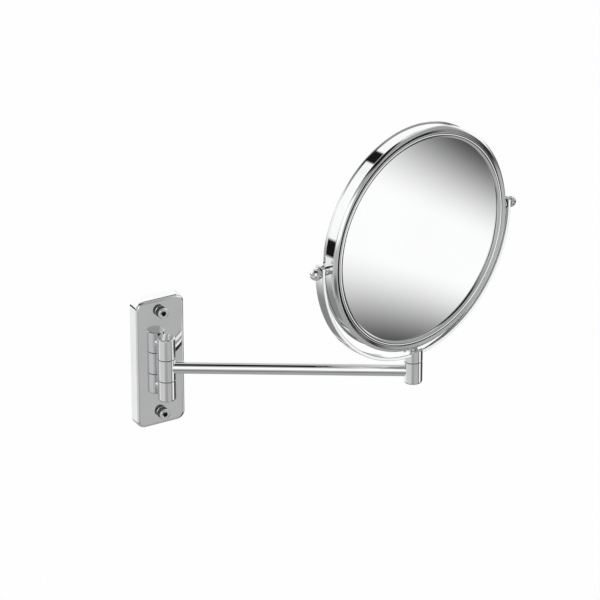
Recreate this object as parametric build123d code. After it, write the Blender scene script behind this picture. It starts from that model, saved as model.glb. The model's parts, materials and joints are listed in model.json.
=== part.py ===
from build123d import *
from math import cos, radians, sin, sqrt
import os

# Wall-mounted shaving mirror: hinged arm, swivelling yoke and tilting double-sided head.
#
# Millimetres. Origin at the centre of the wall plate's back face. The wall is the XZ plane,
# the mirror stands out from it along -Y, +X is to the right as one faces the wall, +Z is up.

# ---- pose at rest, degrees about +Z
arm_angle = 58.5  # arm from the wall's normal, towards +X
head_angle = 12.0  # glass normal from the wall's normal, towards +X

# ---- fits
running_clearance = 0.05  # radial, shafts that turn in a bush
seat_clearance = 0.02  # radial, pieces pressed or screwed together
face_clearance = 0.05  # flat faces that slide on each other

# ---- wall plate
plate_width = 46.2
plate_height = 119.6
plate_depth = 12.5
plate_corner_radius = 7.5
plate_edge_radius = 3.0
plate_rim = 2.5
plate_face = 3.0
screw_boss_radius = 6.5

# ---- wall screws
wall_screw_spacing = 96.0
wall_stud_radius = 2.5
wall_stud_length = 10.0
wall_stud_tip = 2.0
wall_shank_radius = 2.8
wall_hole_radius = 3.0
wall_head_radius = 5.0
wall_head_height = 6.2
wall_head_edge = 0.8
wall_socket_width = 4.0
wall_socket_depth = 3.0

# ---- hinge barrel
barrel_radius = 7.9
barrel_gap = 1.5  # between the barrel and the plate's face
barrel_height = -2.3  # middle of the barrel above the middle of the plate
knuckle_height = 19.6  # of the arm's knuckle
fixed_knuckle_height = 19.1
hinge_washer_thickness = 0.6
barrel_top_edge = 0.9
barrel_bottom_edge = 2.2
neck_radius = 5.0
hinge_pin_radius = 3.0
hinge_pin_engagement = 14.0  # length of pin in the top knuckle
hinge_pin_edge = 0.6
hinge_bush_radius = 4.2
hinge_cap_radius = 5.0
hinge_cap_thickness = 3.0
knuckle_screw_radius = 2.0
knuckle_screw_wall = 1.2  # left between the pin's bore and the screw's hole
knuckle_screw_head_radius = 3.6
knuckle_screw_head_height = 2.4
knuckle_screw_hole_radius = 2.2

# ---- arm
arm_length = 210.8  # hinge axis to swivel axis
arm_rise = 1.5  # tube axis above the middle of the barrel
tube_radius = 5.65
tube_wall = 1.2
insert_length = 16.0
insert_stud_radius = 2.5
insert_stud_wall = 0.8  # left between the stud's hole and the bush

# ---- end socket and swivel
post_radius = 8.1
socket_above = 9.0  # top of the socket above the tube axis
socket_below = 11.5
socket_bottom_edge = 2.2
swivel_bush_radius = 4.0
swivel_ledge_top = 0.0  # above the tube axis
swivel_ledge_bottom = -4.0
swivel_shoulder_radius = 3.0
swivel_thread_radius = 2.5
swivel_ledge_clearance = 0.3
swivel_well_radius = 6.3
swivel_spring_radius = 5.6
swivel_spring_thickness = 0.8
swivel_head_radius = 5.0
swivel_head_height = 2.5
swivel_socket_width = 3.0
swivel_socket_depth = 1.3
swivel_cap_thickness = 2.5
swivel_washer_thickness = 0.6
washer_inset = 0.35

# ---- yoke
yoke_clearance = 6.0  # between the bezels and the strap
strap_seat_height = 15.5  # lowest line of the strap above the tube axis
strap_thickness = 3.0
strap_width = 9.5
strap_end = 7.0  # strap above the pivot axis
strap_end_radius = 3.0
stem_ear_rise = 5.0  # top of the stem above the lowest line of the strap
stem_ear_edge = 0.6
strap_hole_radius = 2.6
yoke_nut_radius = 3.9
yoke_nut_height = 3.0
yoke_nut_edge = 0.8
yoke_nut_engagement = 2.2

# ---- pivots of the head
pivot_screw_radius = 2.0
pivot_bush_radius = 3.0
pivot_washer_radius = 4.4
pivot_washer_thickness = 0.55
knob_radius = 5.5
knob_rise = 2.5  # middle of the ball above its flat seat
boss_radius = 4.2
boss_neck_radius = 3.2
boss_nut_radius = 3.5
boss_nut_thickness = 2.4
pivot_screw_reach = 3.0  # into the boss' neck, inside the band

# ---- head
drum_offset = 1.1  # middle of the drum in front of the pivot axis
bezel_radius = 100.0
bezel_rim_height = 6.1  # widest line of the bezel from the middle of the drum
bezel_crest_height = 8.7
bezel_skirt_end = 5.6
outer_bead_width = 4.9
inner_bead_width = 4.6
groove_depth = 1.5
inner_bead_height = 8.6
bezel_face_width = 10.0  # from the outside to the glass
bezel_lip_thickness = 1.1
bezel_skirt_thickness = 1.2  # outside the band
band_thickness = 1.6
snap_gap = 0.3  # between the bezels' inner skirts and the nuts inside the band
snap_thickness = 1.2
glass_overlap = 2.6  # of each glass under its bezel
glass_thickness = 2.5
glass_gap = 1.0  # between the glasses at the middle
spacer_inset = 1.1  # from the rim of the glasses
spacer_width = 3.0

# ---- worked out from the sizes above
face_y = -plate_depth
hinge_y = face_y - barrel_gap - barrel_radius
tube_z = barrel_height + arm_rise
swivel_x = arm_length * sin(radians(arm_angle))
swivel_y = hinge_y - arm_length * cos(radians(arm_angle))
half_knuckle = knuckle_height / 2
half_fixed = fixed_knuckle_height / 2
knuckle_pitch = half_knuckle + hinge_washer_thickness + half_fixed
stem_bottom = socket_above + swivel_washer_thickness
tube_bore = tube_radius - tube_wall

strap_inner_radius = bezel_radius + yoke_clearance
strap_radius = strap_inner_radius + strap_thickness
pivot_height = strap_seat_height + strap_radius
stem_ear_height = strap_seat_height + stem_ear_rise
knob_base = strap_radius + pivot_washer_thickness + 3 * face_clearance
knob_centre = knob_base + knob_rise

band_radius = bezel_radius - bezel_skirt_thickness
band_inner_radius = band_radius - band_thickness
pivot_screw_tip = band_inner_radius - pivot_screw_reach
glass_opening_radius = bezel_radius - bezel_face_width
glass_radius = glass_opening_radius + glass_overlap
spacer_outer_radius = glass_radius - spacer_inset
spacer_inner_radius = spacer_outer_radius - spacer_width
groove_height = bezel_crest_height - groove_depth
lip_height = groove_height - bezel_lip_thickness
glass_seat = lip_height - face_clearance
magnifier_sag = 2 * (glass_seat - glass_thickness) - glass_gap
magnifier_radius = (glass_radius**2 + magnifier_sag**2) / (2 * magnifier_sag)  # of curvature

hinge_frame = Location((0, hinge_y, barrel_height))
arm_frame = Location((0, hinge_y, tube_z), (0, 0, arm_angle - 90))
swivel_frame = Location((swivel_x, swivel_y, tube_z), (0, 0, head_angle))
arm_socket_frame = Location((swivel_x, swivel_y, tube_z), (0, 0, arm_angle - 90))
pivot_frame = Location((swivel_x, swivel_y, tube_z + pivot_height), (0, 0, head_angle))
drum_frame = pivot_frame * Location((0, -drum_offset, 0))

parts = {}


def rod(radius, start, end, axis="Z"):
    """Cylinder on an axis through the local origin, from one coordinate to another."""
    low, high = min(start, end), max(start, end)
    turn = {"X": Rot(0, 90, 0), "Y": Rot(-90, 0, 0), "Z": Rot(0, 0, 0)}[axis]
    upright = Pos(0, 0, low) * Cylinder(radius, high - low, align=(Align.CENTER, Align.CENTER, Align.MIN))
    return turn * upright


def tube(outer, inner, start, end, axis="Z"):
    """Hollow cylinder on an axis through the local origin."""
    return rod(outer, start, end, axis) - rod(inner, start, end, axis)


def hexagon(width, start, end):
    """Hexagonal prism on Z, its size measured across the flats."""
    return Pos(0, 0, start) * extrude(RegularPolygon(width / 2, 6, major_radius=False), end - start)


def edges_at(solid, height, radius):
    """Round edges of one radius at one height on Z."""
    def chosen(edge):
        return (
            edge.geom_type == GeomType.CIRCLE
            and abs(edge.radius - radius) < 0.001
            and abs(edge.arc_center.Z - height) < 0.001
        )

    return solid.edges().filter_by(chosen)


# ================= fixed to the wall

def wall_hole_heights():
    return [-wall_screw_spacing / 2, wall_screw_spacing / 2]


def fixed_knuckle_heights():
    """Middles of the two fixed knuckles, from the middle of the barrel."""
    return [knuckle_pitch, -knuckle_pitch]


def make_wall_plate():
    outline = RectangleRounded(plate_width, plate_height, plate_corner_radius)
    body = extrude(outline, plate_depth)
    front = body.faces().sort_by(Axis.Z)[-1]
    body = fillet(front.edges(), plate_edge_radius)
    hollow = RectangleRounded(
        plate_width - 2 * plate_rim, plate_height - 2 * plate_rim, plate_corner_radius - plate_rim
    )
    body -= extrude(hollow, plate_depth - plate_face)
    for height in wall_hole_heights():
        body += Pos(0, height, 0) * rod(screw_boss_radius, 0, plate_depth - plate_face)
    for height in wall_hole_heights():
        body -= Pos(0, height, 0) * rod(wall_hole_radius, 0, plate_depth)
    for height in fixed_knuckle_heights():
        body -= Pos(0, barrel_height + height, 0) * rod(knuckle_screw_hole_radius, 0, plate_depth)
    # local Z becomes -Y and local Y becomes +Z
    return Rot(90, 0, 0) * body


def make_wall_screw():
    head = rod(wall_head_radius, -wall_head_height, 0)
    head = chamfer(edges_at(head, -wall_head_height, wall_head_radius), wall_head_edge)
    head -= hexagon(wall_socket_width, -wall_head_height, -wall_head_height + wall_socket_depth)
    shank = rod(wall_shank_radius, 0, plate_depth)
    stud_end = plate_depth + wall_stud_length
    stud = rod(wall_stud_radius, plate_depth, stud_end)
    tip = Pos(0, 0, stud_end) * Cone(
        wall_stud_radius, wall_stud_radius / 5, wall_stud_tip, align=(Align.CENTER, Align.CENTER, Align.MIN)
    )
    # local +Z goes into the wall, along +Y
    return Rot(-90, 0, 0) * (head + shank + stud + tip)


def make_fixed_knuckle(top):
    """Knuckle centred on the origin with its neck towards the plate."""
    body = rod(barrel_radius, -half_fixed, half_fixed)
    if top:
        body = chamfer(edges_at(body, half_fixed, barrel_radius), barrel_top_edge)
    else:
        body = fillet(edges_at(body, -half_fixed, barrel_radius), barrel_bottom_edge)
    body += rod(neck_radius, 0, barrel_radius + barrel_gap, "Y")
    if top:
        body -= rod(hinge_pin_radius, -half_fixed, hinge_pin_engagement - half_fixed)
    else:
        body -= rod(hinge_pin_radius, -half_fixed, half_fixed)
        body -= rod(hinge_cap_radius, -half_fixed, hinge_cap_thickness - half_fixed)
    screw_end = hinge_pin_radius + knuckle_screw_wall
    body -= rod(knuckle_screw_radius, screw_end, barrel_radius + barrel_gap, "Y")
    return body


def make_knuckle_screw():
    """Screw from behind the plate's face into a knuckle's neck; origin on the barrel's axis."""
    radius = knuckle_screw_radius - seat_clearance
    start = hinge_pin_radius + knuckle_screw_wall + 2 * seat_clearance
    seat = barrel_radius + barrel_gap + plate_face + seat_clearance
    return rod(radius, start, seat, "Y") + rod(
        knuckle_screw_head_radius, seat, seat + knuckle_screw_head_height, "Y"
    )


parts["wall_plate"] = make_wall_plate()
wall_screw = make_wall_screw()
parts["wall_screws"] = [
    Pos(0, face_y - seat_clearance, height) * wall_screw for height in wall_hole_heights()
]
parts["hinge_knuckle_top"] = hinge_frame * Pos(0, 0, knuckle_pitch) * make_fixed_knuckle(top=True)
parts["hinge_knuckle_bottom"] = hinge_frame * Pos(0, 0, -knuckle_pitch) * make_fixed_knuckle(top=False)
parts["knuckle_screws"] = [
    hinge_frame * Pos(0, 0, height) * make_knuckle_screw() for height in fixed_knuckle_heights()
]

pin_bottom = hinge_cap_thickness - half_fixed - knuckle_pitch + seat_clearance
pin_top = knuckle_pitch - half_fixed + hinge_pin_engagement - seat_clearance
hinge_pin = rod(hinge_pin_radius - seat_clearance, pin_bottom, pin_top)
hinge_pin = chamfer(hinge_pin.edges().filter_by(GeomType.CIRCLE), hinge_pin_edge)
parts["hinge_pin"] = hinge_frame * hinge_pin

cap_bottom = -half_fixed - knuckle_pitch
parts["hinge_cap"] = hinge_frame * rod(
    hinge_cap_radius - seat_clearance, cap_bottom, cap_bottom + hinge_cap_thickness - seat_clearance
)

hinge_washer = tube(
    barrel_radius - washer_inset,
    hinge_pin_radius + running_clearance,
    half_knuckle + face_clearance,
    half_knuckle + hinge_washer_thickness - face_clearance,
)
parts["hinge_washers"] = [hinge_frame * hinge_washer, hinge_frame * Rot(180, 0, 0) * hinge_washer]


# ================= arm

def make_arm_knuckle():
    body = tube(barrel_radius, hinge_bush_radius, -half_knuckle, half_knuckle)
    stud_hole = rod(insert_stud_radius, hinge_bush_radius + insert_stud_wall, barrel_radius + 1, "X")
    return body - Pos(0, 0, arm_rise) * stud_hole


def make_arm_tube():
    body = tube(tube_radius, tube_bore, 0, arm_length, "X")
    body -= rod(barrel_radius + seat_clearance, -2 * tube_radius, 2 * tube_radius)
    body -= Pos(arm_length, 0, 0) * rod(post_radius + seat_clearance, -2 * tube_radius, 2 * tube_radius)
    return body


def make_arm_insert(shell_radius, bush_radius):
    """Plug in the tube with a stud into the knuckle; origin on the knuckle's axis, tube along +X."""
    plug = rod(tube_bore - seat_clearance, 0, shell_radius + insert_length, "X")
    plug -= rod(shell_radius + seat_clearance, -2 * tube_radius, 2 * tube_radius)
    stud_start = bush_radius + insert_stud_wall + seat_clearance
    return plug + rod(insert_stud_radius - seat_clearance, stud_start, shell_radius + 1, "X")


def make_end_socket():
    body = rod(post_radius, -socket_below, socket_above)
    body = fillet(edges_at(body, -socket_below, post_radius), socket_bottom_edge)
    body -= rod(swivel_bush_radius, swivel_ledge_top, socket_above)
    body -= rod(swivel_shoulder_radius + swivel_ledge_clearance, swivel_ledge_bottom, swivel_ledge_top)
    body -= rod(swivel_well_radius, -socket_below, swivel_ledge_bottom)
    stud_hole = rod(insert_stud_radius, -post_radius - 1, -swivel_bush_radius - insert_stud_wall, "X")
    return body - stud_hole


parts["arm_knuckle"] = arm_frame * Pos(0, 0, -arm_rise) * make_arm_knuckle()
parts["hinge_bush"] = hinge_frame * tube(
    hinge_bush_radius - seat_clearance, hinge_pin_radius + running_clearance, -half_knuckle, half_knuckle
)
parts["arm_tube"] = arm_frame * make_arm_tube()
parts["arm_insert_wall"] = arm_frame * make_arm_insert(barrel_radius, hinge_bush_radius)
parts["arm_insert_head"] = (
    arm_frame * Pos(arm_length, 0, 0) * Rot(0, 0, 180) * make_arm_insert(post_radius, swivel_bush_radius)
)
parts["end_socket"] = arm_socket_frame * make_end_socket()
parts["swivel_bush"] = swivel_frame * tube(
    swivel_bush_radius - seat_clearance,
    swivel_shoulder_radius + running_clearance,
    swivel_ledge_top + seat_clearance,
    socket_above,
)
swivel_cap = rod(swivel_well_radius - seat_clearance, -socket_below, swivel_cap_thickness - socket_below)
parts["swivel_cap"] = swivel_frame * swivel_cap
parts["swivel_washer"] = swivel_frame * tube(
    post_radius - washer_inset,
    swivel_shoulder_radius + running_clearance,
    socket_above + face_clearance,
    stem_bottom - face_clearance,
)


# ================= yoke

def strap_ring(outer, inner, width):
    """Ring about the pivot axis' crossing with the swivel axis, its flat sides facing along local Y."""
    return tube(outer, inner, -width / 2, width / 2, "Y")


def make_yoke_strap():
    ring = strap_ring(strap_radius, strap_inner_radius, strap_width)
    lower = Box(
        2 * strap_radius, strap_width, strap_radius, align=(Align.CENTER, Align.CENTER, Align.MAX)
    )
    body = ring & lower
    for side in (-1, 1):
        leg = Pos(side * (strap_radius - strap_thickness / 2), 0, 0) * Box(
            strap_thickness, strap_width, strap_end, align=(Align.CENTER, Align.CENTER, Align.MIN)
        )
        corners = leg.edges().filter_by(Axis.X).group_by(Axis.Z)[-1]
        body += fillet(corners, strap_end_radius)
    body -= rod(pivot_bush_radius, -strap_radius - 1, strap_radius + 1, "X")
    return body - rod(strap_hole_radius, -strap_radius - 1, -strap_inner_radius + 1)


def make_yoke_stem():
    """Stem in the swivel's frame: a saddle for the strap between two ears."""
    body = rod(post_radius, stem_bottom, stem_ear_height)
    body = chamfer(edges_at(body, stem_ear_height, post_radius), stem_ear_edge)
    body -= Pos(0, 0, pivot_height) * strap_ring(
        strap_radius + seat_clearance, strap_inner_radius - 20, strap_width + 2 * seat_clearance
    )
    return body - rod(swivel_thread_radius, stem_bottom, stem_ear_height)


def make_swivel_bolt():
    under_head = swivel_ledge_bottom - swivel_spring_thickness - 2 * face_clearance
    head = rod(swivel_head_radius, under_head - swivel_head_height, under_head)
    socket_top = under_head - swivel_head_height + swivel_socket_depth
    head -= hexagon(swivel_socket_width, under_head - swivel_head_height, socket_top)
    shoulder = rod(swivel_shoulder_radius, under_head, stem_bottom - seat_clearance)
    nut_seat = pivot_height - strap_inner_radius
    thread = rod(
        swivel_thread_radius - seat_clearance, stem_bottom - seat_clearance, nut_seat + yoke_nut_engagement
    )
    return head + shoulder + thread


def make_yoke_nut():
    """Low closed nut on the strap's inner face, between the ears."""
    rise = strap_inner_radius - sqrt(strap_inner_radius**2 - yoke_nut_radius**2)
    seat = pivot_height - strap_inner_radius + rise + seat_clearance
    body = rod(yoke_nut_radius, seat, seat + yoke_nut_height)
    body = fillet(edges_at(body, seat + yoke_nut_height, yoke_nut_radius), yoke_nut_edge)
    thread_end = pivot_height - strap_inner_radius + yoke_nut_engagement + seat_clearance
    return body - rod(swivel_thread_radius, seat, thread_end)


spring_top = swivel_ledge_bottom - face_clearance
parts["yoke_strap"] = pivot_frame * make_yoke_strap()
parts["yoke_stem"] = swivel_frame * make_yoke_stem()
parts["yoke_nut"] = swivel_frame * make_yoke_nut()
parts["swivel_bolt"] = swivel_frame * make_swivel_bolt()
parts["swivel_spring"] = swivel_frame * tube(
    swivel_spring_radius,
    swivel_shoulder_radius + seat_clearance,
    spring_top - swivel_spring_thickness,
    spring_top,
)
pivot_bush = tube(
    pivot_bush_radius - seat_clearance,
    pivot_screw_radius + running_clearance,
    strap_inner_radius + seat_clearance,
    strap_radius - seat_clearance,
    "X",
)
parts["pivot_bushes"] = [pivot_frame * pivot_bush, pivot_frame * Rot(0, 0, 180) * pivot_bush]


# ================= head, its front facing local -Y

def lathe(points_and_arcs):
    """Ring or disc about local Y from a closed outline of (radius, height) lines, height to the front."""
    face = make_face(points_and_arcs)
    return Rot(0, 0, 180) * revolve(face, Axis.Y)


def make_bezel():
    """Front bezel: a wide outer bead and a narrower inner one round the glass, a skirt outside the band."""
    bead_start = (bezel_radius, bezel_rim_height)
    bead_top = (bezel_radius - outer_bead_width / 2, bezel_crest_height)
    bead_end = (bezel_radius - outer_bead_width, groove_height)
    groove_end = (glass_opening_radius + inner_bead_width, groove_height)
    inner_top = (glass_opening_radius + inner_bead_width / 2, inner_bead_height)
    inner_end = (glass_opening_radius, groove_height)
    skirt_radius = band_radius + seat_clearance
    snap_radius = band_inner_radius - seat_clearance
    snap_end = drum_offset + boss_nut_radius + snap_gap
    band_end = min(bezel_rim_height, lip_height) - seat_clearance
    outline = [
        ThreePointArc(bead_start, bead_top, bead_end),
        Line(bead_end, groove_end),
        ThreePointArc(groove_end, inner_top, inner_end),
        Polyline(
            inner_end,
            (glass_opening_radius, lip_height),
            (snap_radius - snap_thickness, lip_height),
            (snap_radius - snap_thickness, snap_end),
            (snap_radius, snap_end),
            (snap_radius, band_end),
            (skirt_radius, band_end),
            (skirt_radius, bezel_skirt_end),
            (bezel_radius, bezel_skirt_end),
            bead_start,
        ),
    ]
    return lathe(outline)


def sag(radius, curvature):
    return curvature - sqrt(curvature**2 - radius**2)


def make_magnifying_glass():
    centre_front = glass_seat - sag(glass_radius, magnifier_radius)
    centre_back = centre_front - glass_thickness
    back_curvature = magnifier_radius + glass_thickness
    edge_back = centre_back + sag(glass_radius, back_curvature)
    middle = glass_radius / 2
    outline = [
        Line((0, centre_back), (0, centre_front)),
        ThreePointArc(
            (0, centre_front),
            (middle, centre_front + sag(middle, magnifier_radius)),
            (glass_radius, glass_seat),
        ),
        Line((glass_radius, glass_seat), (glass_radius, edge_back)),
        ThreePointArc(
            (glass_radius, edge_back), (middle, centre_back + sag(middle, back_curvature)), (0, centre_back)
        ),
    ]
    return lathe(outline)


def make_glass_spacer():
    """Ring that holds the two glasses apart, its front edge following the curved glass."""
    centre_back = glass_seat - sag(glass_radius, magnifier_radius) - glass_thickness
    back_curvature = magnifier_radius + glass_thickness
    front_inner = centre_back + sag(spacer_inner_radius, back_curvature) - face_clearance
    front_outer = centre_back + sag(spacer_outer_radius, back_curvature) - face_clearance
    back = -glass_seat + glass_thickness + face_clearance
    outline = Polyline(
        (spacer_inner_radius, back),
        (spacer_inner_radius, front_inner),
        (spacer_outer_radius, front_outer),
        (spacer_outer_radius, back),
        close=True,
    )
    return lathe(outline)


def make_drum_band():
    reach = min(bezel_rim_height, lip_height) - 2 * seat_clearance
    body = tube(band_radius, band_inner_radius, -reach, reach, "Y")
    return body - Pos(0, drum_offset, 0) * rod(boss_neck_radius, -band_radius - 1, band_radius + 1, "X")


def make_pivot_boss():
    """Threaded boss outside the band with a neck through it, on local X."""
    boss_end = strap_inner_radius - pivot_washer_thickness - 4 * face_clearance
    boss = rod(boss_radius, band_radius + seat_clearance, boss_end, "X")
    neck = rod(
        boss_neck_radius - seat_clearance,
        band_inner_radius - boss_nut_thickness,
        band_radius + seat_clearance,
        "X",
    )
    return boss + neck - rod(pivot_screw_radius, pivot_screw_tip - 1, boss_end, "X")


def make_boss_nut():
    outer = sqrt(band_inner_radius**2 - boss_nut_radius**2) - seat_clearance
    return tube(boss_nut_radius, boss_neck_radius, outer - boss_nut_thickness, outer, "X")


def make_pivot_knob():
    """Ball knob and its screw, on local X."""
    ball = Pos(knob_centre, 0, 0) * Sphere(knob_radius)
    ball -= rod(2 * knob_radius, knob_centre - 2 * knob_radius, knob_base, "X")
    screw = rod(pivot_screw_radius - seat_clearance, pivot_screw_tip, knob_base, "X")
    return ball + screw


def both_sides(piece):
    return [pivot_frame * piece, pivot_frame * Rot(0, 0, 180) * piece]


bezel = make_bezel()
parts["bezel_front"] = drum_frame * bezel
parts["bezel_rear"] = drum_frame * Rot(0, 0, 180) * bezel
parts["drum_band"] = drum_frame * make_drum_band()
parts["magnifying_glass"] = drum_frame * make_magnifying_glass()
parts["plain_glass"] = drum_frame * rod(glass_radius, glass_seat - glass_thickness, glass_seat, "Y")
parts["glass_spacer"] = drum_frame * make_glass_spacer()
parts["pivot_bosses"] = both_sides(make_pivot_boss())
parts["boss_nuts"] = both_sides(make_boss_nut())
parts["pivot_knobs"] = both_sides(make_pivot_knob())
inner_washer = tube(
    pivot_washer_radius,
    pivot_screw_radius + running_clearance,
    strap_inner_radius - pivot_washer_thickness - 3 * face_clearance,
    strap_inner_radius - 3 * face_clearance,
    "X",
)
outer_washer = tube(
    pivot_washer_radius,
    pivot_screw_radius + running_clearance,
    strap_radius + face_clearance,
    strap_radius + face_clearance + pivot_washer_thickness,
    "X",
)
parts["inner_washers"] = both_sides(inner_washer)
parts["outer_washers"] = both_sides(outer_washer)


os.makedirs("parts", exist_ok=True)
for name, shape in parts.items():
    solids = shape if isinstance(shape, list) else [shape]
    node = Compound(children=[Solid(s.solid().wrapped) for s in solids])
    node.label = name
    export_step(node, f"parts/{name}.step")
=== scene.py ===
import json
from math import acos, asin, atan2, ceil, cos, pi, radians, sin, sqrt, tan

import bmesh
import bpy
from mathutils import Matrix, Vector


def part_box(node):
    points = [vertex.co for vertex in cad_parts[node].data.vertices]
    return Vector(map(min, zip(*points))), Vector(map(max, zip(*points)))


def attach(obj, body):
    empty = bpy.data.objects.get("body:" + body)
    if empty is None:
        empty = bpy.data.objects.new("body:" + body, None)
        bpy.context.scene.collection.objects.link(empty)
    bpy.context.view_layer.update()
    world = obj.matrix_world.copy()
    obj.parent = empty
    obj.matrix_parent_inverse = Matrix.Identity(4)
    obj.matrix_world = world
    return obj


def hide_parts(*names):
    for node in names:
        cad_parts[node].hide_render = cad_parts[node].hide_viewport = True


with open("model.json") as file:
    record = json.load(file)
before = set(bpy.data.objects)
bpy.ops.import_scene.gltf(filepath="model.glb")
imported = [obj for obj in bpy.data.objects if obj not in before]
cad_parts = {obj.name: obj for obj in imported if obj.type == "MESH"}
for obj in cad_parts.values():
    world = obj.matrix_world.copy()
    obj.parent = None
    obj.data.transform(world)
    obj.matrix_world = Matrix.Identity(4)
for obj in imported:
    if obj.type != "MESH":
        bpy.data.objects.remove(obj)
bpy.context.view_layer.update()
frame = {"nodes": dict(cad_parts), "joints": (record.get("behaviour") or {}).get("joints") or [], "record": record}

MM = 0.001
scene = bpy.context.scene

# ---- axes and places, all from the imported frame
joints = {joint["name"]: joint for joint in frame["joints"]}
hinge = Vector(joints["arm_swing"]["pos_m"])
swivel = Vector(joints["head_swivel"]["pos_m"])
pivot = Vector(joints["mirror_tilt"]["pos_m"])
pin_axis = Vector(joints["mirror_tilt"]["axis"]).normalized()
up = Vector((0, 0, 1))
glass_normal = pin_axis.cross(up).normalized()
arm_axis = (swivel - hinge).normalized()

# ---- sizes that the boxes of the nodes don't give
PLATE_CORNER = 7.5 * MM
PLATE_EDGE = 3.0 * MM
PLATE_RIM = 2.5 * MM
PLATE_FACE = 3.0 * MM
PLATE_BOSS = 6.5 * MM
PLATE_CROWN = 0.12 * MM
PLATE_CROWN_WIDTH = 7.0 * MM
PLATE_BACK_EDGE = 0.2 * MM
PLATE_LEAST_CORNER = 0.6 * MM
PLATE_BOSS_OVERLAP = 0.3 * MM
WALL_HOLE = 3.0 * MM
SCREW_HEAD = 5.0 * MM
SCREW_HEAD_HEIGHT = 6.2 * MM
SCREW_EDGE = 0.9 * MM
SCREW_SHANK = 2.8 * MM
SCREW_STUD = 2.5 * MM
SCREW_TIP = 2.0 * MM
SCREW_TIP_RADIUS = SCREW_STUD / 5
SCREW_FLUTES = 24
SCREW_FLUTE_DEPTH = 0.35 * MM
SCREW_PLAIN_FOOT = 0.4 * MM
SCREW_FLUTE_START = 0.7 * MM
SCREW_FLUTE_MARGIN = 0.5 * MM
# Band of each screw head's side that is painted dark: a painted dark reflection on the chrome, not a dark finish
# of its own
SCREW_PAINTED_DARK_START = 0.5 * MM
SCREW_PAINTED_DARK_MARGIN = 0.3 * MM
SCREW_SOCKET = 4.0 * MM
SCREW_SOCKET_DEPTH = 3.0 * MM
SCREW_SOCKET_RIM = 0.55 * MM
SCREW_SOCKET_BEVEL = 0.1 * MM
SCREW_SOCKET_BEVEL_DEPTH = 0.3 * MM
SCREW_SOCKET_POINT = 0.3
SCREW_SOCKET_POINT_DEPTH = 0.4 * MM
BARREL_TOP_EDGE = 0.9 * MM
BARREL_BOTTOM_EDGE = 2.2 * MM
NECK_RADIUS = 5.0 * MM
KNUCKLE_BORE = 4.2 * MM
CAP_RADIUS = 5.0 * MM
CAP_DEPTH = 3.0 * MM
CAP_EDGE = 0.05 * MM
TUBE_RADIUS = 5.65 * MM
TUBE_END_INSET = 2.6 * MM
SOCKET_EDGE = 2.2 * MM
SOCKET_BORE = 4.0 * MM
SOCKET_LEDGE_TOP = 0.0
SOCKET_LEDGE_BOTTOM = -4.0 * MM
SOCKET_LEDGE_BORE = 3.3 * MM
SOCKET_WELL = 6.3 * MM
STRAP_THICKNESS = 3.0 * MM
STRAP_WIDTH = 9.5 * MM
STRAP_END = 7.0 * MM
STRAP_END_RADIUS = 3.0 * MM
STRAP_EDGE = 0.45 * MM
SADDLE_CUT_REACH = 20 * MM
STEM_EAR_EDGE = 0.6 * MM
NUT_EDGE = 0.8 * MM
KNOB_RADIUS = 5.48 * MM
KNOB_SEAT_GAP = 0.7 * MM
KNOB_RISE = 2.5 * MM
BOSS_RADIUS = 4.2 * MM
BOSS_EDGE = 0.4 * MM
BOSS_END_GAP = 0.75 * MM
BOSS_OVERLAP = 0.3 * MM
DRUM_OFFSET = 1.1 * MM
RIM_HEIGHT = 6.1 * MM
CREST_HEIGHT = 8.7 * MM
SKIRT_END = 5.6 * MM
SKIRT_SEAT = 0.6 * MM
CREST_INSET = 2.7 * MM
FLANK_MIDDLE_INSET = 0.449  # share of CREST_INSET halfway up the outer flank
FLANK_MIDDLE_RISE = 0.555  # share of the rise from rim to crest at the same point
FACE_SLOPE = radians(16)
INNER_BEAD = 4.6 * MM
INNER_BEAD_RISE = 0.35 * MM
INNER_BEAD_START = 0.1 * MM
INNER_BEAD_CREST = 0.55  # share of INNER_BEAD
GROOVE_DEPTH = 1.5 * MM
FACE_WIDTH = 10.0 * MM
LIP_THICKNESS = 1.1 * MM
SKIRT_THICKNESS = 1.2 * MM
BAND_THICKNESS = 1.6 * MM
BAND_OVERLAP = 0.3 * MM
GLASS_THICKNESS = 2.5 * MM
GLASS_SEAT_GAP = 0.05 * MM
GLASS_MIDDLE_GAP = 1.0 * MM
EDGE = 0.15 * MM
CLEARANCE = 0.02 * MM

SMALL_RING = 96
SCREW_RING = 192
LARGE_RING = 288


# ================= materials

def new_material(name, metallic, roughness, colour):
    material = bpy.data.materials.new(name)
    material.use_nodes = True
    shader = material.node_tree.nodes["Principled BSDF"]
    shader.inputs["Metallic"].default_value = metallic
    shader.inputs["Roughness"].default_value = roughness
    shader.inputs["Base Color"].default_value = (*colour, 1.0)
    return material, material.node_tree, shader


def add_noise(tree, scale, detail, stretch=(1, 1, 1)):
    """Noise in the object's own space; scale counts features per metre."""
    source = tree.nodes.new("ShaderNodeTexCoord")
    mapping = tree.nodes.new("ShaderNodeMapping")
    mapping.inputs["Scale"].default_value = stretch
    noise = tree.nodes.new("ShaderNodeTexNoise")
    noise.inputs["Scale"].default_value = scale
    noise.inputs["Detail"].default_value = detail
    tree.links.new(source.outputs["Object"], mapping.inputs["Vector"])
    tree.links.new(mapping.outputs["Vector"], noise.inputs["Vector"])
    return noise.outputs["Fac"]


def vary_number(tree, factor, socket, low, high):
    spread = tree.nodes.new("ShaderNodeMapRange")
    spread.inputs["From Min"].default_value = 0.3
    spread.inputs["From Max"].default_value = 0.7
    spread.inputs["To Min"].default_value = low
    spread.inputs["To Max"].default_value = high
    tree.links.new(factor, spread.inputs["Value"])
    tree.links.new(spread.outputs["Result"], socket)


def vary_colour(tree, factor, socket, dark, light):
    ramp = tree.nodes.new("ShaderNodeValToRGB")
    ramp.color_ramp.elements[0].position = 0.3
    ramp.color_ramp.elements[0].color = (*dark, 1.0)
    ramp.color_ramp.elements[1].position = 0.7
    ramp.color_ramp.elements[1].color = (*light, 1.0)
    tree.links.new(factor, ramp.inputs["Fac"])
    tree.links.new(ramp.outputs["Color"], socket)


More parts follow.
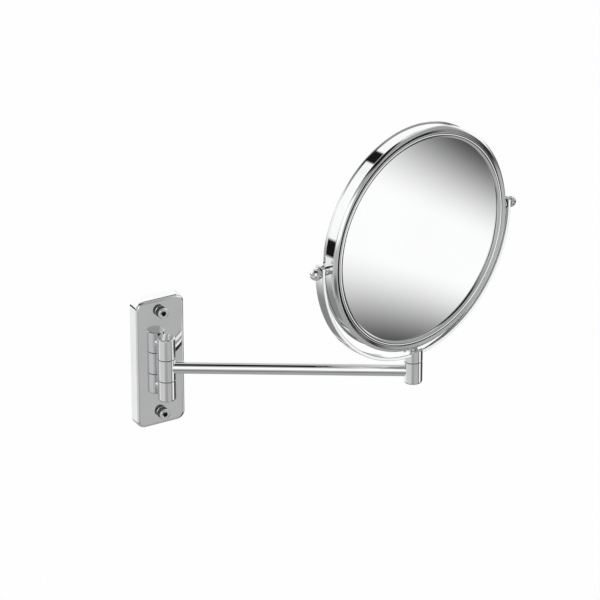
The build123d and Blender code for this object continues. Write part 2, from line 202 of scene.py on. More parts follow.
def add_bump(tree, factor, shader, depth, strength=1.0):
    bump = tree.nodes.new("ShaderNodeBump")
    bump.inputs["Strength"].default_value = strength
    bump.inputs["Distance"].default_value = depth
    tree.links.new(factor, bump.inputs["Height"])
    tree.links.new(bump.outputs["Normal"], shader.inputs["Normal"])


def chrome_material():
    """Plated metal: a faint cloudiness in tone and gloss, and the slow ripple that polishing leaves."""
    material, tree, shader = new_material("polished_chrome", 1.0, 0.03, (0.86, 0.865, 0.87))
    cloud = add_noise(tree, 35.0, 3.0)
    vary_colour(tree, cloud, shader.inputs["Base Color"], (0.84, 0.845, 0.85), (0.88, 0.885, 0.89))
    haze = add_noise(tree, 900.0, 4.0)
    vary_number(tree, haze, shader.inputs["Roughness"], 0.02, 0.05)
    ripple = add_noise(tree, 90.0, 1.0)
    add_bump(tree, ripple, shader, 0.00001, 0.4)
    return material


def mirror_material():
    """Silvered glass: clean and flat, with a trace of haze from wiping."""
    material, tree, shader = new_material("mirror_glass", 1.0, 0.0, (0.95, 0.955, 0.955))
    haze = add_noise(tree, 60.0, 5.0, stretch=(1.0, 1.0, 0.35))
    vary_number(tree, haze, shader.inputs["Roughness"], 0.0, 0.018)
    cloud = add_noise(tree, 12.0, 2.0)
    vary_colour(tree, cloud, shader.inputs["Base Color"], (0.94, 0.945, 0.945), (0.96, 0.965, 0.965))
    return material


def washer_material():
    material, tree, shader = new_material("dark_washer", 0.0, 0.55, (0.02, 0.02, 0.02))
    grain = add_noise(tree, 2500.0, 4.0)
    vary_colour(tree, grain, shader.inputs["Base Color"], (0.012, 0.012, 0.012), (0.03, 0.03, 0.03))
    vary_number(tree, grain, shader.inputs["Roughness"], 0.45, 0.65)
    add_bump(tree, grain, shader, 0.00002)
    return material


def nylon_material():
    material, tree, shader = new_material("white_nylon", 0.0, 0.4, (0.82, 0.81, 0.76))
    shader.inputs["Subsurface Weight"].default_value = 0.15
    shader.inputs["Subsurface Radius"].default_value = (0.002, 0.002, 0.0015)
    grain = add_noise(tree, 1200.0, 4.0)
    vary_colour(tree, grain, shader.inputs["Base Color"], (0.78, 0.77, 0.72), (0.85, 0.84, 0.8))
    vary_number(tree, grain, shader.inputs["Roughness"], 0.32, 0.5)
    add_bump(tree, grain, shader, 0.00001)
    return material


def turned_material(name, dark, light):
    """Turned or plated metal with fine rings from the lathe."""
    material, tree, shader = new_material(name, 1.0, 0.28, light)
    rings = add_noise(tree, 1500.0, 3.0, stretch=(0.15, 0.15, 3.0))
    vary_colour(tree, rings, shader.inputs["Base Color"], dark, light)
    vary_number(tree, rings, shader.inputs["Roughness"], 0.2, 0.38)
    add_bump(tree, rings, shader, 0.00001)
    return material


materials = {
    "polished_chrome": chrome_material(),
    "mirror_glass": mirror_material(),
    "dark_washer": washer_material(),
    "white_nylon": nylon_material(),
    "plain_steel": turned_material("plain_steel", (0.5, 0.5, 0.49), (0.62, 0.62, 0.61)),
    "dark_knurl": turned_material("dark_knurl", (0.05, 0.05, 0.05), (0.12, 0.12, 0.12)),
    "brass_insert": turned_material("brass_insert", (0.66, 0.5, 0.24), (0.8, 0.64, 0.34)),
}

slot_of_node = {row["node"]: row["material_slot"] for row in frame["record"]["subparts"]}
for node_name, node in frame["nodes"].items():
    node.data.materials.clear()
    node.data.materials.append(materials[slot_of_node[node_name]])


# ================= outlines: lists of (radius, height) or (x, y) points

def arc_through(start, middle, end, steps):
    """Points of the circle through three points, from the first to the last."""
    (ax, ay), (bx, by), (cx, cy) = start, middle, end
    d = 2 * (ax * (by - cy) + bx * (cy - ay) + cx * (ay - by))
    a2, b2, c2 = ax * ax + ay * ay, bx * bx + by * by, cx * cx + cy * cy
    ux = (a2 * (by - cy) + b2 * (cy - ay) + c2 * (ay - by)) / d
    uy = (a2 * (cx - bx) + b2 * (ax - cx) + c2 * (bx - ax)) / d
    radius = sqrt((ax - ux) ** 2 + (ay - uy) ** 2)
    angles = [atan2(y - uy, x - ux) for x, y in (start, middle, end)]
    clockwise = d < 0
    sweep = angles[2] - angles[0]
    if clockwise and sweep > 0:
        sweep -= 2 * pi
    if not clockwise and sweep < 0:
        sweep += 2 * pi
    turns = [angles[0] + sweep * i / steps for i in range(steps + 1)]
    return [(ux + radius * cos(t), uy + radius * sin(t)) for t in turns]


def round_corners(corners, closed=True):
    """Polygon whose corners (x, y, radius) become tangent arcs."""
    points = []
    count = len(corners)
    for i, (x, y, radius) in enumerate(corners):
        if radius <= 0 or (not closed and i in (0, count - 1)):
            points.append((x, y))
            continue
        here = Vector((x, y))
        before = (Vector(corners[i - 1][:2]) - here).normalized()
        after = (Vector(corners[(i + 1) % count][:2]) - here).normalized()
        half = before.angle(after) / 2
        reach = radius / max(1e-9, abs(cos(half) / sin(half)) ** -1)
        centre = here + (before + after).normalized() * (radius / sin(half))
        first, last = here + before * reach, here + after * reach
        start = atan2(first.y - centre.y, first.x - centre.x)
        sweep = atan2(last.y - centre.y, last.x - centre.x) - start
        sweep = (sweep + pi) % (2 * pi) - pi
        steps = max(3, ceil(abs(sweep) / radians(9)))
        for k in range(steps + 1):
            t = start + sweep * k / steps
            points.append((centre.x + radius * cos(t), centre.y + radius * sin(t)))
    return points


# ================= mesh helpers

def basis(origin, z_axis, x_axis):
    """Matrix of a right-handed frame whose Z and X are given."""
    z = z_axis.normalized()
    x = (x_axis - z * x_axis.dot(z)).normalized()
    y = z.cross(x)
    matrix = Matrix((x, y, z)).transposed().to_4x4()
    matrix.translation = origin
    return matrix


def add_rings(mesh, rings):
    """Skin between rings of equal length, with flat caps."""
    rows = [[mesh.verts.new(p) for p in ring] for ring in rings]
    width = len(rows[0])
    for low, high in zip(rows, rows[1:]):
        for k in range(width):
            n = (k + 1) % width
            mesh.faces.new((low[k], low[n], high[n], high[k]))
    mesh.faces.new(list(reversed(rows[0])))
    mesh.faces.new(rows[-1])


def add_lathe(mesh, outline, matrix, segments, closed=True):
    """Turn an outline of (radius, height) about the matrix' Z axis. Points at radius 0 become poles."""
    rows = []
    for radius, height in outline:
        if radius < 1e-9:
            rows.append([mesh.verts.new(matrix @ Vector((0, 0, height)))])
            continue
        turn = [2 * pi * k / segments for k in range(segments)]
        rows.append([
            mesh.verts.new(matrix @ Vector((radius * cos(t), radius * sin(t), height))) for t in turn
        ])
    pairs = list(zip(rows, rows[1:]))
    if closed and not (len(rows[0]) == 1 and len(rows[-1]) == 1):
        pairs.append((rows[-1], rows[0]))
    for low, high in pairs:
        for k in range(segments):
            n = (k + 1) % segments
            if len(low) == 1 and len(high) == 1:
                break
            if len(low) == 1:
                mesh.faces.new((low[0], high[n], high[k]))
            elif len(high) == 1:
                mesh.faces.new((low[k], low[n], high[0]))
            else:
                mesh.faces.new((low[k], low[n], high[n], high[k]))


def finish_piece(name, mesh, body, slot, *nodes, sharp=35.0):
    """Object from a bmesh: smooth shaded, normals led by the large faces, riding on its CAD body."""
    bmesh.ops.recalc_face_normals(mesh, faces=mesh.faces)
    data = bpy.data.meshes.new(name)
    mesh.to_mesh(data)
    mesh.free()
    for face in data.polygons:
        face.use_smooth = True
    data.set_sharp_from_angle(angle=radians(sharp))
    piece = bpy.data.objects.new(name, data)
    scene.collection.objects.link(piece)
    normals = piece.modifiers.new("normals", "WEIGHTED_NORMAL")
    normals.keep_sharp = True
    data.materials.append(materials[slot])
    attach(piece, body)
    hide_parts(*nodes)
    return piece


def upright(origin, height=0.0):
    return basis(Vector((origin.x, origin.y, height)), up, arm_axis)


# ================= wall bracket

plate_low, plate_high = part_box("wall_plate")
plate_depth = plate_high.y - plate_low.y
plate_face_y = plate_low.y
screw_heights = [
    sign * (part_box("wall_screws")[1].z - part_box("wall_screws")[0].z - 2 * SCREW_HEAD) / 2
    for sign in (-1, 1)
]


def plate_ring(inset, y):
    """Rounded rectangle, inset from the plate's outline, at one distance from the wall."""
    half_w = (plate_high.x - plate_low.x) / 2 - inset
    half_h = (plate_high.z - plate_low.z) / 2 - inset
    radius = max(PLATE_CORNER - inset, PLATE_LEAST_CORNER)
    ring = []
    steps = 14
    for quarter, (cx, cz) in enumerate(((1, 1), (-1, 1), (-1, -1), (1, -1))):
        for k in range(steps + 1):
            t = pi / 2 * (quarter + k / steps)
            ring.append(Vector((
                cx * (half_w - radius) + radius * cos(t), y, cz * (half_h - radius) + radius * sin(t)
            )))
    return ring


def make_plate():
    mesh = bmesh.new()
    inner_y = plate_face_y + PLATE_FACE
    rings = [
        plate_ring(PLATE_RIM, inner_y),
        plate_ring(PLATE_RIM, -PLATE_BACK_EDGE),
        plate_ring(PLATE_RIM - PLATE_BACK_EDGE, 0),
        plate_ring(PLATE_BACK_EDGE, 0),
        plate_ring(0, -PLATE_BACK_EDGE),
    ]
    edge_steps = 12
    for k in range(edge_steps + 1):
        t = pi / 2 * k / edge_steps
        rings.append(plate_ring(
            PLATE_EDGE * (1 - cos(t)), plate_face_y + PLATE_CROWN + PLATE_EDGE * (1 - sin(t))
        ))
    crown_steps = 6
    for k in range(1, crown_steps + 1):
        share = k / crown_steps
        rings.append(plate_ring(
            PLATE_EDGE + PLATE_CROWN_WIDTH * share, plate_face_y + PLATE_CROWN * (1 - share) ** 2
        ))
    add_rings(mesh, rings)
    for height in screw_heights:
        boss = basis(Vector((0, 0, height)), Vector((0, -1, 0)), Vector((1, 0, 0)))
        reach = plate_depth - PLATE_FACE + PLATE_BOSS_OVERLAP
        outline = [(WALL_HOLE, 0), (PLATE_BOSS, 0), (PLATE_BOSS, reach), (WALL_HOLE, reach)]
        add_lathe(mesh, outline, boss, SMALL_RING)
    return finish_piece("wall_plate_shell", mesh, "wall_bracket", "polished_chrome", "wall_plate")


def screw_ring(radius, hexagon, depth, matrix, flutes=0.0):
    """Circle, or hexagon of that inner radius, or fluted circle, with the same number of points."""
    ring = []
    for k in range(SCREW_RING):
        t = 2 * pi * k / SCREW_RING
        side = (t + pi / 6) % (pi / 3) - pi / 6
        reach = radius / cos(side) if hexagon else radius - flutes * (1 - cos(SCREW_FLUTES * t)) / 2
        ring.append(matrix @ Vector((reach * cos(t), reach * sin(t), depth)))
    return ring


def make_wall_screws():
    mesh = bmesh.new()
    stud_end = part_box("wall_screws")[1].y
    for height in screw_heights:
        matrix = basis(Vector((0, plate_face_y, height)), Vector((0, -1, 0)), Vector((0, 0, 1)))
        back = -(stud_end - plate_face_y)
        top = SCREW_HEAD_HEIGHT
        flute_end = top - SCREW_EDGE - SCREW_FLUTE_MARGIN
        rings = [
            screw_ring(SCREW_TIP_RADIUS, False, back, matrix),
            screw_ring(SCREW_STUD, False, back + SCREW_TIP, matrix),
            screw_ring(SCREW_STUD, False, -plate_depth, matrix),
            screw_ring(SCREW_SHANK, False, -plate_depth, matrix),
            screw_ring(SCREW_SHANK, False, CLEARANCE, matrix),
            screw_ring(SCREW_HEAD, False, CLEARANCE, matrix),
            screw_ring(SCREW_HEAD, False, SCREW_PLAIN_FOOT, matrix),
            screw_ring(SCREW_HEAD, False, SCREW_FLUTE_START, matrix, SCREW_FLUTE_DEPTH),
            screw_ring(SCREW_HEAD, False, flute_end, matrix, SCREW_FLUTE_DEPTH),
        ]
        steps = 10
        for k in range(steps + 1):
            t = pi / 2 * k / steps
            radius = SCREW_HEAD - SCREW_EDGE * (1 - cos(t))
            rings.append(screw_ring(radius, False, top - SCREW_EDGE * (1 - sin(t)), matrix))
        half = SCREW_SOCKET / 2
        socket_end = top - SCREW_SOCKET_DEPTH - SCREW_SOCKET_POINT_DEPTH
        rings += [
            screw_ring(half + SCREW_SOCKET_RIM, False, top, matrix),
            screw_ring(half + SCREW_SOCKET_BEVEL, True, top - SCREW_SOCKET_BEVEL, matrix),
            screw_ring(half, True, top - SCREW_SOCKET_BEVEL_DEPTH, matrix),
            screw_ring(half, True, top - SCREW_SOCKET_DEPTH, matrix),
            screw_ring(half * SCREW_SOCKET_POINT, False, socket_end, matrix),
        ]
        add_rings(mesh, rings)
    piece = finish_piece("wall_screw_heads", mesh, "wall_bracket", "polished_chrome", "wall_screws")
    # The fluted sides of the screw heads take the dark knurl material: this is painted dark reflection and shade
    # on polished chrome
    piece.data.materials.append(materials["dark_knurl"])
    painted_reflection_start = plate_face_y - SCREW_PAINTED_DARK_START
    painted_reflection_end = plate_face_y - SCREW_HEAD_HEIGHT + SCREW_EDGE + SCREW_PAINTED_DARK_MARGIN
    for face in piece.data.polygons:
        if painted_reflection_end < face.center.y < painted_reflection_start:
            face.material_index = 1
    return piece


knuckle_low, knuckle_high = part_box("arm_knuckle")
barrel_radius = (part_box("hinge_knuckle_top")[1].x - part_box("hinge_knuckle_top")[0].x) / 2


def add_neck(mesh, height):
    """Round neck from the barrel's axis into the plate's face."""
    matrix = basis(Vector((0, hinge.y, height)), Vector((0, 1, 0)), Vector((1, 0, 0)))
    reach = plate_face_y - hinge.y
    outline = [(0, 0), (NECK_RADIUS, 0), (NECK_RADIUS, reach), (0, reach)]
    add_lathe(mesh, outline, matrix, SMALL_RING)


def make_fixed_knuckles():
    low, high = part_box("hinge_knuckle_top")
    mesh = bmesh.new()
    outline = round_corners([
        (0, low.z, 0),
        (barrel_radius, low.z, EDGE),
        (barrel_radius, high.z, BARREL_TOP_EDGE),
        (0, high.z, 0),
    ], closed=False)
    add_lathe(mesh, outline, upright(hinge), SMALL_RING)
    add_neck(mesh, (low.z + high.z) / 2)
    finish_piece("hinge_upper", mesh, "wall_bracket", "polished_chrome", "hinge_knuckle_top")

    low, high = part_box("hinge_knuckle_bottom")
    mesh = bmesh.new()
    outline = round_corners([
        (0, low.z + CAP_DEPTH, 0),
        (CAP_RADIUS, low.z + CAP_DEPTH, 0),
        (CAP_RADIUS, low.z, CAP_EDGE),
        (barrel_radius, low.z, BARREL_BOTTOM_EDGE),
        (barrel_radius, high.z, EDGE),
        (0, high.z, 0),
    ], closed=False)
    add_lathe(mesh, outline, upright(hinge), SMALL_RING)
    add_neck(mesh, (low.z + high.z) / 2)
    finish_piece("hinge_lower", mesh, "wall_bracket", "polished_chrome", "hinge_knuckle_bottom")


# ================= arm

def make_arm_knuckle():
    mesh = bmesh.new()
    low, high = knuckle_low.z, knuckle_high.z
    outline = round_corners([
        (KNUCKLE_BORE, low, EDGE),
        (barrel_radius, low, EDGE),
        (barrel_radius, high, EDGE),
        (KNUCKLE_BORE, high, EDGE),
    ])
    add_lathe(mesh, outline, upright(hinge), SMALL_RING)
    return finish_piece("arm_knuckle_sleeve", mesh, "arm", "polished_chrome", "arm_knuckle")


socket_low, socket_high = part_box("end_socket")
socket_radius = (socket_high.x - socket_low.x) / 2
tube_z = (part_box("arm_tube")[0].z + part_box("arm_tube")[1].z) / 2


def make_arm_tube():
    """Tube let into the knuckle and the socket, so that its saddle ends close on them."""
    mesh = bmesh.new()
    start = barrel_radius - TUBE_END_INSET
    end = (swivel - hinge).length - socket_radius + TUBE_END_INSET
    matrix = basis(Vector((hinge.x, hinge.y, tube_z)), arm_axis, up)
    outline = [(0, start), (TUBE_RADIUS, start), (TUBE_RADIUS, end), (0, end)]
    add_lathe(mesh, outline, matrix, SMALL_RING)
    return finish_piece("arm_tube_outer", mesh, "arm", "polished_chrome", "arm_tube")


def make_end_socket():
    mesh = bmesh.new()
    low, high = socket_low.z, socket_high.z
    centre_r, centre_z = socket_radius - SOCKET_EDGE, low + SOCKET_EDGE
    first = asin((SOCKET_WELL - centre_r) / SOCKET_EDGE)
    steps = 10
    outline = []
    for k in range(steps + 1):
        t = first + (pi / 2 - first) * k / steps
        outline.append((centre_r + SOCKET_EDGE * sin(t), centre_z - SOCKET_EDGE * cos(t)))
    outline += round_corners([
        (socket_radius, centre_z, 0),
        (socket_radius, high, EDGE),
        (SOCKET_BORE, high, EDGE),
        (SOCKET_BORE, tube_z + SOCKET_LEDGE_TOP, 0),
        (SOCKET_LEDGE_BORE, tube_z + SOCKET_LEDGE_TOP, 0),
        (SOCKET_LEDGE_BORE, tube_z + SOCKET_LEDGE_BOTTOM, 0),
        (SOCKET_WELL, tube_z + SOCKET_LEDGE_BOTTOM, 0),
    ], closed=False)[1:]
    add_lathe(mesh, outline, upright(swivel), SMALL_RING)
    return finish_piece("arm_end_socket", mesh, "arm", "polished_chrome", "end_socket")


# ================= yoke

strap_low_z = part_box("yoke_strap")[0].z
strap_radius = pivot.z - strap_low_z
strap_inner = strap_radius - STRAP_THICKNESS
head_matrix = basis(pivot, glass_normal, pin_axis)


def cut(mesh, cutter):
    """bmesh of one closed mesh minus another."""
    objects = []
    for label, source in (("kept", mesh), ("cutter", cutter)):
        bmesh.ops.recalc_face_normals(source, faces=source.faces)
        data = bpy.data.meshes.new(label)
        source.to_mesh(data)
        source.free()
        piece = bpy.data.objects.new(label, data)
        scene.collection.objects.link(piece)
        objects.append(piece)
    kept, tool = objects
    boolean = kept.modifiers.new("cut", "BOOLEAN")
    boolean.object = tool
    boolean.operation = "DIFFERENCE"
    boolean.solver = "EXACT"
    bpy.context.view_layer.update()
    result = bmesh.new()
    result.from_object(kept, bpy.context.evaluated_depsgraph_get())
    for piece in objects:
        data = piece.data
        bpy.data.objects.remove(piece)
        bpy.data.meshes.remove(data)
    return result


def make_stem():
    low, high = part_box("yoke_stem")
    mesh = bmesh.new()
    outline = round_corners([
        (0, low.z, 0),
        (socket_radius, low.z, EDGE),
        (socket_radius, high.z, STEM_EAR_EDGE),
        (0, high.z, 0),
    ], closed=False)
    add_lathe(mesh, outline, upright(swivel), SMALL_RING)
    cutter = bmesh.new()
    half = STRAP_WIDTH / 2 + CLEARANCE
    ring = [
        (strap_inner - SADDLE_CUT_REACH, -half),
        (strap_radius + CLEARANCE, -half),
        (strap_radius + CLEARANCE, half),
        (strap_inner - SADDLE_CUT_REACH, half),
    ]
    add_lathe(cutter, ring, head_matrix, LARGE_RING * 2)
    return finish_piece("yoke_stem_saddle", cut(mesh, cutter), "yoke", "polished_chrome", "yoke_stem")


def make_strap():
    """Flat strap bent to a U, swept along the path with a rounded section and rounded ends."""
    mesh = bmesh.new()
    middle = (strap_radius + strap_inner) / 2
    stations = []
    leg_steps = 14
    for k in range(leg_steps + 1):
        height = STRAP_END - STRAP_END_RADIUS * (1 - cos(pi / 2 * k / leg_steps))
        stations.append((Vector((-1, 0, 0)), -middle, height))
    arc_steps = 180
    for k in range(arc_steps + 1):
        t = pi + pi * k / arc_steps
        stations.append((Vector((cos(t), sin(t), 0)), None, 0.0))
    for k in range(leg_steps, -1, -1):
        height = STRAP_END - STRAP_END_RADIUS * (1 - cos(pi / 2 * k / leg_steps))
        stations.append((Vector((1, 0, 0)), middle, height))
    rings = []
    for outward, leg_x, height in stations:
        if leg_x is None:
            centre = outward * middle
            half_width = STRAP_WIDTH / 2
        else:
            centre = Vector((leg_x, height, 0))
            over = max(0.0, height - (STRAP_END - STRAP_END_RADIUS))
            half_width = STRAP_WIDTH / 2 - STRAP_END_RADIUS + sqrt(STRAP_END_RADIUS ** 2 - over ** 2)
        corner = [
            (STRAP_THICKNESS / 2, half_width, STRAP_EDGE),
            (-STRAP_THICKNESS / 2, half_width, STRAP_EDGE),
            (-STRAP_THICKNESS / 2, -half_width, STRAP_EDGE),
            (STRAP_THICKNESS / 2, -half_width, STRAP_EDGE),
        ]
        section = round_corners(corner)
        rings.append([head_matrix @ (centre + outward * a + Vector((0, 0, b))) for a, b in section])
    add_rings(mesh, rings)
    return finish_piece("yoke_strap_bent", mesh, "yoke", "polished_chrome", "yoke_strap")


def make_yoke_nut():
    low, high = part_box("yoke_nut")
    radius = (high.x - low.x) / 2
    mesh = bmesh.new()
    outline = round_corners([
        (0, low.z, 0),
        (radius, low.z, EDGE),
        (radius, high.z, NUT_EDGE),
        (0, high.z, 0),
    ], closed=False)
    add_lathe(mesh, outline, upright(swivel), SMALL_RING)
    return finish_piece("yoke_nut_cap", mesh, "yoke", "polished_chrome", "yoke_nut")


# ================= head

bezel_radius = (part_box("bezel_front")[1].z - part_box("bezel_front")[0].z) / 2
glass_opening = bezel_radius - FACE_WIDTH
band_radius = bezel_radius - SKIRT_THICKNESS
glass_radius = (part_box("plain_glass")[1].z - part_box("plain_glass")[0].z) / 2
groove_height = CREST_HEIGHT - GROOVE_DEPTH
lip_height = groove_height - LIP_THICKNESS
drum_centre = pivot + glass_normal * DRUM_OFFSET
front_matrix = basis(drum_centre, glass_normal, pin_axis)
rear_matrix = basis(drum_centre, -glass_normal, -pin_axis)


def make_bezel(name, node, matrix):
    mesh = bmesh.new()
    bead_steps = 24
    crest_radius = bezel_radius - CREST_INSET
    slope_radius = glass_opening + INNER_BEAD
    slope_height = CREST_HEIGHT - (crest_radius - slope_radius) * tan(FACE_SLOPE)
    outline = arc_through(
        (bezel_radius, RIM_HEIGHT),
        (
            bezel_radius - CREST_INSET * FLANK_MIDDLE_INSET,
            RIM_HEIGHT + (CREST_HEIGHT - RIM_HEIGHT) * FLANK_MIDDLE_RISE,
        ),
        (crest_radius, CREST_HEIGHT),
        bead_steps,
    )
    slope_steps = 6
    outline += [
        (
            crest_radius + (slope_radius - crest_radius) * k / slope_steps,
            CREST_HEIGHT + (slope_height - CREST_HEIGHT) * k / slope_steps,
        )
        for k in range(1, slope_steps + 1)
    ]
    outline += arc_through(
        (slope_radius - INNER_BEAD_START, slope_height),
        (glass_opening + INNER_BEAD * INNER_BEAD_CREST, slope_height + INNER_BEAD_RISE),
        (glass_opening, groove_height),
        bead_steps,
    )
    inner = band_radius - BAND_THICKNESS
    outline += [
        (glass_opening, lip_height),
        (inner, lip_height),
        (inner, SKIRT_END - SKIRT_SEAT),
        (band_radius + CLEARANCE, SKIRT_END - SKIRT_SEAT),
        (band_radius + CLEARANCE, SKIRT_END),
        (bezel_radius - EDGE, SKIRT_END),
        (bezel_radius, SKIRT_END + EDGE),
    ]
    add_lathe(mesh, outline, matrix, LARGE_RING)
    return finish_piece(name, mesh, "head", "polished_chrome", node, sharp=60.0)


def make_band():
    mesh = bmesh.new()
    reach = SKIRT_END + BAND_OVERLAP
    inner = band_radius - BAND_THICKNESS
    outline = [(inner, -reach), (band_radius, -reach), (band_radius, reach), (inner, reach)]
    add_lathe(mesh, outline, front_matrix, LARGE_RING)
    return finish_piece("drum_band_strip", mesh, "head", "polished_chrome", "drum_band")


def sag(radius, curvature):
    return curvature - sqrt(curvature ** 2 - radius ** 2)


def make_glasses():
    seat = lip_height - GLASS_SEAT_GAP
    depth = 2 * (seat - GLASS_THICKNESS) - GLASS_MIDDLE_GAP
    curvature = (glass_radius ** 2 + depth ** 2) / (2 * depth)
    rings = 48
    front = []
    back = []
    for k in range(rings + 1):
        r = glass_radius * k / rings
        height = seat - depth + sag(r, curvature)
        front.append((r, height))
        back.append((r, height - GLASS_THICKNESS))
    mesh = bmesh.new()
    add_lathe(mesh, front + list(reversed(back)), front_matrix, LARGE_RING)
    finish_piece("glass_magnifying", mesh, "head", "mirror_glass", "magnifying_glass")

    mesh = bmesh.new()
    outline = [(glass_radius * k / 8, seat) for k in range(9)]
    outline += [(glass_radius, seat - GLASS_THICKNESS), (0, seat - GLASS_THICKNESS)]
    add_lathe(mesh, outline, rear_matrix, LARGE_RING)
    finish_piece("glass_plain", mesh, "head", "mirror_glass", "plain_glass")


def make_pivots():
    """Ball knobs outside the strap, and the bosses between the strap and the band."""
    knobs = bmesh.new()
    bosses = bmesh.new()
    knob_seat = strap_radius + KNOB_SEAT_GAP
    boss_end = strap_inner - BOSS_END_GAP
    for side in (1, -1):
        matrix = basis(pivot, pin_axis * side, up)
        edge = acos(-KNOB_RISE / KNOB_RADIUS)
        steps = 40
        ball = [
            (
                KNOB_RADIUS * sin(edge * k / steps),
                knob_seat + KNOB_RISE + KNOB_RADIUS * cos(edge * k / steps),
            )
            for k in range(steps + 1)
        ]
        ball[0] = (0, ball[0][1])
        add_lathe(knobs, ball + [(0, knob_seat)], matrix, SMALL_RING)
        outline = round_corners([
            (0, band_radius - BOSS_OVERLAP, 0),
            (BOSS_RADIUS, band_radius - BOSS_OVERLAP, 0),
            (BOSS_RADIUS, boss_end, BOSS_EDGE),
            (0, boss_end, 0),
        ], closed=False)
        add_lathe(bosses, outline, matrix, SMALL_RING)
    finish_piece("pivot_ball_knobs", knobs, "head", "polished_chrome", "pivot_knobs")
    finish_piece("pivot_boss_pair", bosses, "head", "polished_chrome", "pivot_bosses")


# ================= stage, light and camera

def emission_material(name, colour, strength):
    material = bpy.data.materials.new(name)
    material.use_nodes = True
    tree = material.node_tree
    tree.nodes.clear()
    glow = tree.nodes.new("ShaderNodeEmission")
    glow.inputs["Color"].default_value = (*colour, 1.0)
    glow.inputs["Strength"].default_value = strength
    output = tree.nodes.new("ShaderNodeOutputMaterial")
    tree.links.new(glow.outputs["Emission"], output.inputs["Surface"])
    return material


def only_for_camera(piece):
    """The stage is plain: it doesn't show in the chrome, which reflects the soft lights instead."""
    piece.visible_diffuse = False
    piece.visible_glossy = False
    piece.visible_transmission = False
    piece.visible_shadow = False


# Other views see only as far as 100 times the object's radius, about 22 m. The parts of this stage beyond
# that are out of their sight, and dark cards can show in the background of low views.
STAGE_LEVEL = 0.99
FLOOR_HEIGHT = -4.0
FLOOR_HALF_SIZE = 25.0
BACKDROP_RADIUS = 24.0


def add_stage_piece(name, mesh, material):
    data = bpy.data.meshes.new(name)
    mesh.to_mesh(data)
    mesh.free()
    data.materials.append(material)
    piece = bpy.data.objects.new(name, data)
    scene.collection.objects.link(piece)
    only_for_camera(piece)


def make_stage():
    pale = emission_material("pale_stage", (1.0, 1.0, 1.0), STAGE_LEVEL)
    size = FLOOR_HALF_SIZE
    mesh = bmesh.new()
    corners = [(-size, -size), (size, -size), (size, size), (-size, size)]
    mesh.faces.new([mesh.verts.new((x, y, FLOOR_HEIGHT)) for x, y in corners])
    add_stage_piece("floor", mesh, pale)
    mesh = bmesh.new()
    bmesh.ops.create_icosphere(mesh, subdivisions=5, radius=BACKDROP_RADIUS)
    add_stage_piece("backdrop", mesh, pale)


def direction(azimuth, elevation):
    """Unit vector; azimuth 0 is +Y and turns towards +X."""
    a, e = radians(azimuth), radians(elevation)
    return Vector((sin(a) * cos(e), cos(a) * cos(e), sin(e)))


# Studio cards as seen from the object: azimuth, elevation, half width, half height, roll, softness, level.
# Sizes in degrees. Later cards lie in front of earlier ones.
CARDS = [
    # grey floor all round
    (0, -90, 53, 53, 0, 8, 0.4),
    # dim front and right of the room, grey ceiling behind
    (185, 26, 90, 38, 0, 8, 0.38),
    (20, 76, 36, 13, 0, 5, 0.58),
    # low screens: mid-grey in front, lighter at the front left
    (188, -25, 62, 15, 0, 5, 0.49),
    (265, -26, 34, 13, 0, 14, 0.66),
    (-28, -27, 16, 9, 0, 5, 0.93),
    # tall white softbox in front, black flag above it
    (212, 14, 17, 19, 0, 6, 1.15),
    (212, 67.5, 34, 18, 0, 5, 0.012),
    # thin shadow under the front screen
    (212, -36, 14, 8, 0, 6, 0.15),
    # right-hand side: dark wall, darkest low down, with one soft white strip across it
    (72, -23, 36, 15, 0, 5, 0.12),
    (97, -34, 12, 20, 0, 4, 0.015),
    (126, -25, 17, 18, 0, 3, 0.035),
    (124.6, -24, 17, 5.5, 22, 3.7, 1.02),
    # small dark flags at the top right and on the edges of the white sweep at the back left
    (72, 62, 14, 9, 0, 4, 0.08),
    (-59, -8.5, 30, 6.5, 0, 1.5, 0.01),
    (-11.5, 48, 5.7, 5, 0, 1.2, 0.01),
    # floor in shadow at the back left
    (-28, -48, 26, 10, 0, 6, 0.26),
]
WORLD_LEVEL = 1.1


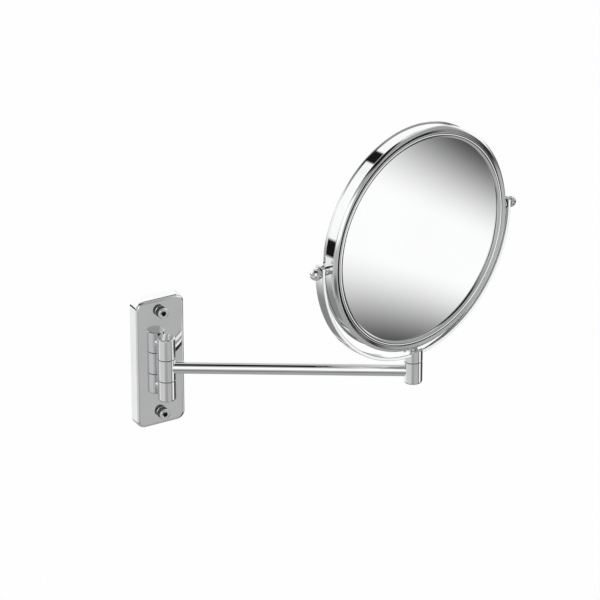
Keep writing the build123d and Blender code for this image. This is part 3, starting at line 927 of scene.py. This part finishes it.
def make_world():
    world = bpy.data.worlds.new("studio")
    scene.world = world
    world.use_nodes = True
    tree = world.node_tree
    tree.nodes.clear()
    source = tree.nodes.new("ShaderNodeTexCoord").outputs["Generated"]

    def vector_dot(a, b):
        node = tree.nodes.new("ShaderNodeVectorMath")
        node.operation = "DOT_PRODUCT"
        tree.links.new(a, node.inputs[0])
        node.inputs[1].default_value = b
        return node.outputs["Value"]

    def math(operation, a, b=None):
        node = tree.nodes.new("ShaderNodeMath")
        node.operation = operation
        for socket, value in zip(node.inputs, (a, b)):
            if value is None:
                continue
            if isinstance(value, (int, float)):
                socket.default_value = value
            else:
                tree.links.new(value, socket)
        return node.outputs["Value"]

    def falloff(value, half, soft):
        node = tree.nodes.new("ShaderNodeMapRange")
        node.interpolation_type = "SMOOTHSTEP"
        node.inputs["From Min"].default_value = radians(half - soft)
        node.inputs["From Max"].default_value = radians(half + soft)
        node.inputs["To Min"].default_value = 1.0
        node.inputs["To Max"].default_value = 0.0
        tree.links.new(value, node.inputs["Value"])
        return node.outputs["Result"]

    level = WORLD_LEVEL
    for azimuth, elevation, half_w, half_h, roll, soft, value in CARDS:
        axis = direction(azimuth, elevation)
        side = direction(azimuth + 90, 0)
        top = side.cross(axis)
        if top.z < 0:
            top = -top
        turn = radians(roll)
        across = side * cos(turn) + top * sin(turn)
        along = top * cos(turn) - side * sin(turn)
        forward = vector_dot(source, axis)
        yaw = math("ARCTAN2", vector_dot(source, across), forward)
        pitch = math("ARCSINE", vector_dot(source, along))
        mask = math(
            "MULTIPLY",
            falloff(math("ABSOLUTE", yaw), half_w, soft),
            falloff(math("ABSOLUTE", pitch), half_h, soft),
        )
        mix = tree.nodes.new("ShaderNodeMix")
        mix.data_type = "FLOAT"
        tree.links.new(mask, mix.inputs["Factor"])
        if isinstance(level, float):
            mix.inputs["A"].default_value = level
        else:
            tree.links.new(level, mix.inputs["A"])
        mix.inputs["B"].default_value = value
        level = mix.outputs["Result"]
    background = tree.nodes.new("ShaderNodeBackground")
    tree.links.new(level, background.inputs["Color"])
    output = tree.nodes.new("ShaderNodeOutputWorld")
    tree.links.new(background.outputs["Background"], output.inputs["Surface"])


VIEW_AZIMUTH = 30.01
VIEW_ELEVATION = -25.12
CAMERA_DISTANCE = 3.412
CAMERA_AIM = Vector((0.1063, -0.0662, 0.0555))
CAMERA_LENS = 240.0
CAMERA_SENSOR = 36.0
CAMERA_REACH = 100.0


def make_camera():
    data = bpy.data.cameras.new("camera")
    data.lens = CAMERA_LENS
    data.sensor_width = CAMERA_SENSOR
    data.clip_end = CAMERA_REACH
    camera = bpy.data.objects.new("camera", data)
    scene.collection.objects.link(camera)
    view = direction(VIEW_AZIMUTH, VIEW_ELEVATION)
    camera.location = CAMERA_AIM - view * CAMERA_DISTANCE
    camera.rotation_euler = view.to_track_quat("-Z", "Y").to_euler()
    scene.camera = camera


make_plate()
make_wall_screws()
make_fixed_knuckles()
make_arm_knuckle()
make_arm_tube()
make_end_socket()
make_stem()
make_strap()
make_yoke_nut()
make_bezel("bezel_front_beads", "bezel_front", front_matrix)
make_bezel("bezel_rear_beads", "bezel_rear", rear_matrix)
make_band()
make_glasses()
make_pivots()
make_stage()
make_world()
make_camera()
scene.view_settings.view_transform = "Standard"
